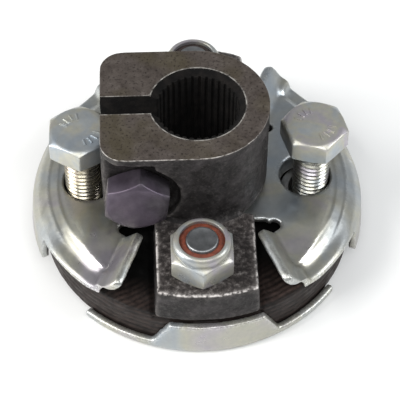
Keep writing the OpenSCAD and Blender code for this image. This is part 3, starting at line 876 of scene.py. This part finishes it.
def make_bolts():
    head = zinc("zinc_head", 0.80, metallic=0.75)
    warm = zinc("zinc_thread_warm", 0.66, 0.42, rough=(0.18, 0.3))
    cool = zinc("zinc_thread_cool", 0.58, rough=(0.2, 0.32))
    for side, x, turn, threads in (("left", -BOLT_X, 29.4, warm), ("right", BOLT_X, -14.5, cool)):
        ob, index = hex_bolt("bolt_" + side, turn)
        place(ob, turned_by(turn, x, 0, BOLT_SEAT_Z))
        dress(ob, [head, threads], index)
        stands_for(ob, "flange_bolt_" + side, side + "_bolt")
    ob, index = hex_bolt("clamp_screw")
    at = Matrix.Translation((PINCH_X * MM, PINCH_Y * MM, PINCH_Z * MM)) @ Matrix.Rotation(math.radians(90), 4, "X")
    place(ob, at @ Matrix.Rotation(math.radians(23), 4, "Z"))
    dark = phosphate_material()
    dress(ob, [dark, dark], index)
    stands_for(ob, "pinch_bolt", "clamp_bolt")


def stud_mesh():
    """A stud in its nut's place: foot, shank, thread and the cap that shows. z = 0 is the nut's seat."""
    steps, thread_from = 48, 4.0
    shank = lathe([(0, -LUG_TOP), (5.6, -LUG_TOP), (5.6, -18.15), (5.5, -18.1), (4.0, -18.1), (4.0, -2.0)])
    cap = lathe([(4.0, 6.6), (3.55, 7.0), (3.44, 7.5), (3.32, 7.84), (3.2, 7.95), (3.06, 8.0), (2.9, 7.99),
                 (2.6, 7.93), (1.4, 7.84), (0, 7.82)])
    # The thread runs upwards and goes without the faces that close its end
    verts, faces = thread(11.2, steps, 0.05)
    verts = [(a, -b, -c - thread_from * MM) for a, b, c in verts]
    return joined([(verts, faces[:-steps]), shank, cap])


def make_studs():
    insert = [(3.98, 5.2), (3.98, 6.7), (3.5, 7.0), (3.42, 7.2), (3.5, 7.36), (3.7, 7.4), (4.0, 7.36), (4.4, 7.22),
              (4.75, 7.02), (4.9, 6.9), (5.25, 6.9), (5.25, 5.2), (3.98, 5.2)]
    nut_zinc = zinc("zinc_nut", 0.60, rough=(0.26, 0.42), metallic=0.55)
    steel = plain_steel("stud_steel", (0.34, 0.35, 0.36))
    for side, sy, tone in (("front", -1, (0.17, 0.042, 0.022)), ("rear", 1, (0.030, 0.020, 0.018))):
        nylon = nylon_material("nylon_" + side, tone)
        for node, ob, material in (
                ("lock_nut_", lock_nut("nut_" + side), nut_zinc),
                ("nylon_insert_", mesh_object("insert_" + side, *lathe(insert), 50), nylon),
                ("stud_", mesh_object("stud_" + side + "_piece", *stud_mesh()), steel)):
            place(ob, turned_by(30, 0, sy * STUD_Y, LUG_TOP))
            dress(ob, [material])
            stands_for(ob, node + side, "hub_side")


def make_inner_pieces():
    steel = plain_steel("bush_steel", (0.30, 0.295, 0.29))
    for node in ("threaded_sleeve_left", "threaded_sleeve_right", "stud_bush_front", "stud_bush_rear"):
        recolour(node, steel)


# ---------------------------------------------------------------- stage
def make_stage():
    bpy.ops.mesh.primitive_plane_add(size=6)
    floor = bpy.context.object
    floor.name = "floor"
    floor.location = (0, 0, -0.00005)
    floor.data.materials.append(floor_material())

    look = Vector((0, 0, 0.02))
    for name, loc, size, power, color in (
            ("key", (-0.58, -0.22, 0.60), (0.40, 0.45), 4.6, (1.0, 0.985, 0.965)),
            ("left", (-0.62, -0.10, 0.14), (0.30, 0.2), 2.4, (1.0, 0.99, 0.97)),
            ("right", (0.60, -0.10, 0.46), (0.3, 0.4), 2.6, (0.97, 0.985, 1.0)),
            ("front", (0.05, -0.50, 0.80), (0.6, 0.3), 2.6, (1, 1, 1))):
        light = bpy.data.lights.new(name, "AREA")
        light.shape = "RECTANGLE"
        light.size, light.size_y = size
        light.energy = power
        light.color = color
        ob = bpy.data.objects.new(name, light)
        ob.location = loc
        ob.rotation_euler = (look - Vector(loc)).to_track_quat("-Z", "Y").to_euler()
        col.objects.link(ob)

    world = bpy.data.worlds.new("studio")
    bpy.context.scene.world = world
    world.use_nodes = True
    bg = world.node_tree.nodes["Background"]
    bg.inputs["Color"].default_value = (0.96, 0.98, 1.0, 1)
    bg.inputs["Strength"].default_value = 0.36
    bpy.context.scene.view_settings.view_transform = "Standard"


def make_camera():
    """The photo's camera, fitted to the round outlines. Distance and target are in millimetres."""
    az, el, roll = math.radians(2.61), math.radians(51.37), math.radians(0.5)
    distance, target = 383.72, Vector((1.3, 13.8, -9.25))
    forward = Vector((math.sin(az) * math.cos(el), math.cos(az) * math.cos(el), -math.sin(el)))
    level = Vector((math.cos(az), -math.sin(az), 0))
    upright = level.cross(forward)
    right = level * math.cos(roll) + upright * math.sin(roll)
    up = upright * math.cos(roll) - level * math.sin(roll)
    cam = bpy.data.cameras.new("camera")
    cam.lens, cam.sensor_width, cam.sensor_fit = 144, 36, "HORIZONTAL"
    cam.clip_start, cam.clip_end = 0.01, 10
    ob = bpy.data.objects.new("camera", cam)
    m = Matrix((right, up, -forward)).transposed().to_4x4()
    m.translation = (target - forward * distance) * MM
    ob.matrix_world = m
    col.objects.link(ob)
    bpy.context.scene.camera = ob


make_camera()
make_stage()
make_hub()
make_sheet("stop_plate", "pressing", "column_side", zinc("zinc_pressing", 0.68, with_wear_glint_and_shade=True), pressing=True)
make_sheet("lower_plate", "base_sheet", "hub_side", zinc("zinc_base", 0.62, with_wear_glint_and_shade=True, metallic=0.8))
make_rubber()
make_bolts()
make_studs()
make_inner_pieces()
